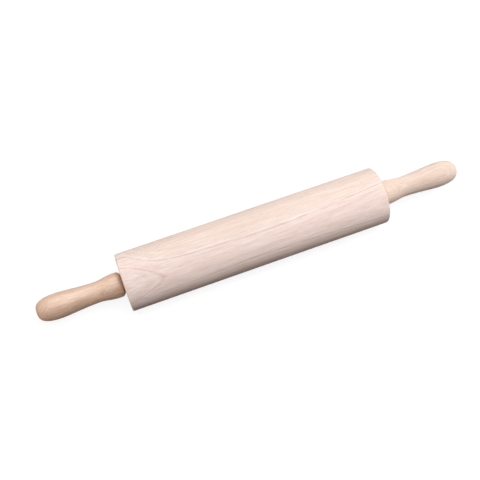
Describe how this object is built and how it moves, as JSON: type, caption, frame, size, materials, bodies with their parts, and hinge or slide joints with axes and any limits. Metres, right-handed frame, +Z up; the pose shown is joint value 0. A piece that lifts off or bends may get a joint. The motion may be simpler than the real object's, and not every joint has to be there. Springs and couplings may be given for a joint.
{
  "type": "rolling pin",
  "caption": "Baker's rolling pin: a straight wooden barrel turns on ball bearings round a steel axle that carries a turned wooden handle at each end.",
  "frame": {"origin": "on the axle, halfway along the barrel", "axes": "+X along the axle towards the right handle, +Z up as the pin lies on a table"},
  "size_m": [0.625, 0.082, 0.082],
  "materials": {
    "barrel_wood": "bare sanded, matt",
    "handle_wood": "bare turned, satin",
    "axle_steel": "drawn bar",
    "race_steel": "ground",
    "ball_steel": "polished",
    "shield_steel": "pressed sheet",
    "cage_nylon": "moulded",
    "plated_steel": "zinc plated",
    "insert_brass": "turned"
  },
  "bodies": {
    "axle_and_handles": {"axle_rod": "axle_steel", "left_bearing_inner_race": "race_steel", "left_spacer_washer": "plated_steel", "left_axle_nut": "plated_steel", "left_handle_insert": "insert_brass", "left_handle": "handle_wood", "right_bearing_inner_race": "race_steel", "right_spacer_washer": "plated_steel", "right_axle_nut": "plated_steel", "right_handle_insert": "insert_brass", "right_handle": "handle_wood"},
    "barrel": {"barrel": "barrel_wood", "left_bearing_outer_race": "race_steel", "left_bearing_outer_shield": "shield_steel", "left_bearing_inner_shield": "shield_steel", "right_bearing_outer_race": "race_steel", "right_bearing_outer_shield": "shield_steel", "right_bearing_inner_shield": "shield_steel"},
    "left_cage": {"left_bearing_cage": "cage_nylon"},
    "left_ball_1": {"left_bearing_ball_1": "ball_steel"},
    "left_ball_2": {"left_bearing_ball_2": "ball_steel"},
    "left_ball_3": {"left_bearing_ball_3": "ball_steel"},
    "left_ball_4": {"left_bearing_ball_4": "ball_steel"},
    "left_ball_5": {"left_bearing_ball_5": "ball_steel"},
    "left_ball_6": {"left_bearing_ball_6": "ball_steel"},
    "left_ball_7": {"left_bearing_ball_7": "ball_steel"},
    "right_cage": {"right_bearing_cage": "cage_nylon"},
    "right_ball_1": {"right_bearing_ball_1": "ball_steel"},
    "right_ball_2": {"right_bearing_ball_2": "ball_steel"},
    "right_ball_3": {"right_bearing_ball_3": "ball_steel"},
    "right_ball_4": {"right_bearing_ball_4": "ball_steel"},
    "right_ball_5": {"right_bearing_ball_5": "ball_steel"},
    "right_ball_6": {"right_bearing_ball_6": "ball_steel"},
    "right_ball_7": {"right_bearing_ball_7": "ball_steel"}
  },
  "joints": [
    {"name": "barrel_spin", "type": "hinge", "parent": "axle_and_handles", "child": "barrel", "pos_m": [0, 0, 0], "axis": [1, 0, 0], "continuous": true},
    {"name": "left_cage_orbit", "type": "hinge", "parent": "axle_and_handles", "child": "left_cage", "pos_m": [-0.18077, 0, 0], "axis": [1, 0, 0], "continuous": true},
    {"name": "left_ball_1_spin", "type": "hinge", "parent": "left_cage", "child": "left_ball_1", "pos_m": [-0.18077, -0.00794, 0], "axis": [1, 0, 0], "continuous": true},
    {"name": "left_ball_2_spin", "type": "hinge", "parent": "left_cage", "child": "left_ball_2", "pos_m": [-0.18077, -0.00495, 0.00621], "axis": [1, 0, 0], "continuous": true},
    {"name": "left_ball_3_spin", "type": "hinge", "parent": "left_cage", "child": "left_ball_3", "pos_m": [-0.18077, 0.00177, 0.00774], "axis": [1, 0, 0], "continuous": true},
    {"name": "left_ball_4_spin", "type": "hinge", "parent": "left_cage", "child": "left_ball_4", "pos_m": [-0.18077, 0.00715, 0.00344], "axis": [1, 0, 0], "continuous": true},
    {"name": "left_ball_5_spin", "type": "hinge", "parent": "left_cage", "child": "left_ball_5", "pos_m": [-0.18077, 0.00715, -0.00344], "axis": [1, 0, 0], "continuous": true},
    {"name": "left_ball_6_spin", "type": "hinge", "parent": "left_cage", "child": "left_ball_6", "pos_m": [-0.18077, 0.00177, -0.00774], "axis": [1, 0, 0], "continuous": true},
    {"name": "left_ball_7_spin", "type": "hinge", "parent": "left_cage", "child": "left_ball_7", "pos_m": [-0.18077, -0.00495, -0.00621], "axis": [1, 0, 0], "continuous": true},
    {"name": "right_cage_orbit", "type": "hinge", "parent": "axle_and_handles", "child": "right_cage", "pos_m": [0.18077, 0, 0], "axis": [1, 0, 0], "continuous": true},
    {"name": "right_ball_1_spin", "type": "hinge", "parent": "right_cage", "child": "right_ball_1", "pos_m": [0.18077, 0.00794, 0], "axis": [1, 0, 0], "continuous": true},
    {"name": "right_ball_2_spin", "type": "hinge", "parent": "right_cage", "child": "right_ball_2", "pos_m": [0.18077, 0.00495, 0.00621], "axis": [1, 0, 0], "continuous": true},
    {"name": "right_ball_3_spin", "type": "hinge", "parent": "right_cage", "child": "right_ball_3", "pos_m": [0.18077, -0.00177, 0.00774], "axis": [1, 0, 0], "continuous": true},
    {"name": "right_ball_4_spin", "type": "hinge", "parent": "right_cage", "child": "right_ball_4", "pos_m": [0.18077, -0.00715, 0.00344], "axis": [1, 0, 0], "continuous": true},
    {"name": "right_ball_5_spin", "type": "hinge", "parent": "right_cage", "child": "right_ball_5", "pos_m": [0.18077, -0.00715, -0.00344], "axis": [1, 0, 0], "continuous": true},
    {"name": "right_ball_6_spin", "type": "hinge", "parent": "right_cage", "child": "right_ball_6", "pos_m": [0.18077, -0.00177, -0.00774], "axis": [1, 0, 0], "continuous": true},
    {"name": "right_ball_7_spin", "type": "hinge", "parent": "right_cage", "child": "right_ball_7", "pos_m": [0.18077, 0.00495, -0.00621], "axis": [1, 0, 0], "continuous": true}
  ],
  "couplings": [
    {"joint": "left_cage_orbit", "follows": "barrel_spin", "ratio": 0.62501},
    {"joint": "left_ball_1_spin", "follows": "barrel_spin", "ratio": 1.8749},
    {"joint": "left_ball_2_spin", "follows": "barrel_spin", "ratio": 1.8749},
    {"joint": "left_ball_3_spin", "follows": "barrel_spin", "ratio": 1.8749},
    {"joint": "left_ball_4_spin", "follows": "barrel_spin", "ratio": 1.8749},
    {"joint": "left_ball_5_spin", "follows": "barrel_spin", "ratio": 1.8749},
    {"joint": "left_ball_6_spin", "follows": "barrel_spin", "ratio": 1.8749},
    {"joint": "left_ball_7_spin", "follows": "barrel_spin", "ratio": 1.8749},
    {"joint": "right_cage_orbit", "follows": "barrel_spin", "ratio": 0.62501},
    {"joint": "right_ball_1_spin", "follows": "barrel_spin", "ratio": 1.8749},
    {"joint": "right_ball_2_spin", "follows": "barrel_spin", "ratio": 1.8749},
    {"joint": "right_ball_3_spin", "follows": "barrel_spin", "ratio": 1.8749},
    {"joint": "right_ball_4_spin", "follows": "barrel_spin", "ratio": 1.8749},
    {"joint": "right_ball_5_spin", "follows": "barrel_spin", "ratio": 1.8749},
    {"joint": "right_ball_6_spin", "follows": "barrel_spin", "ratio": 1.8749},
    {"joint": "right_ball_7_spin", "follows": "barrel_spin", "ratio": 1.8749}
  ]
}
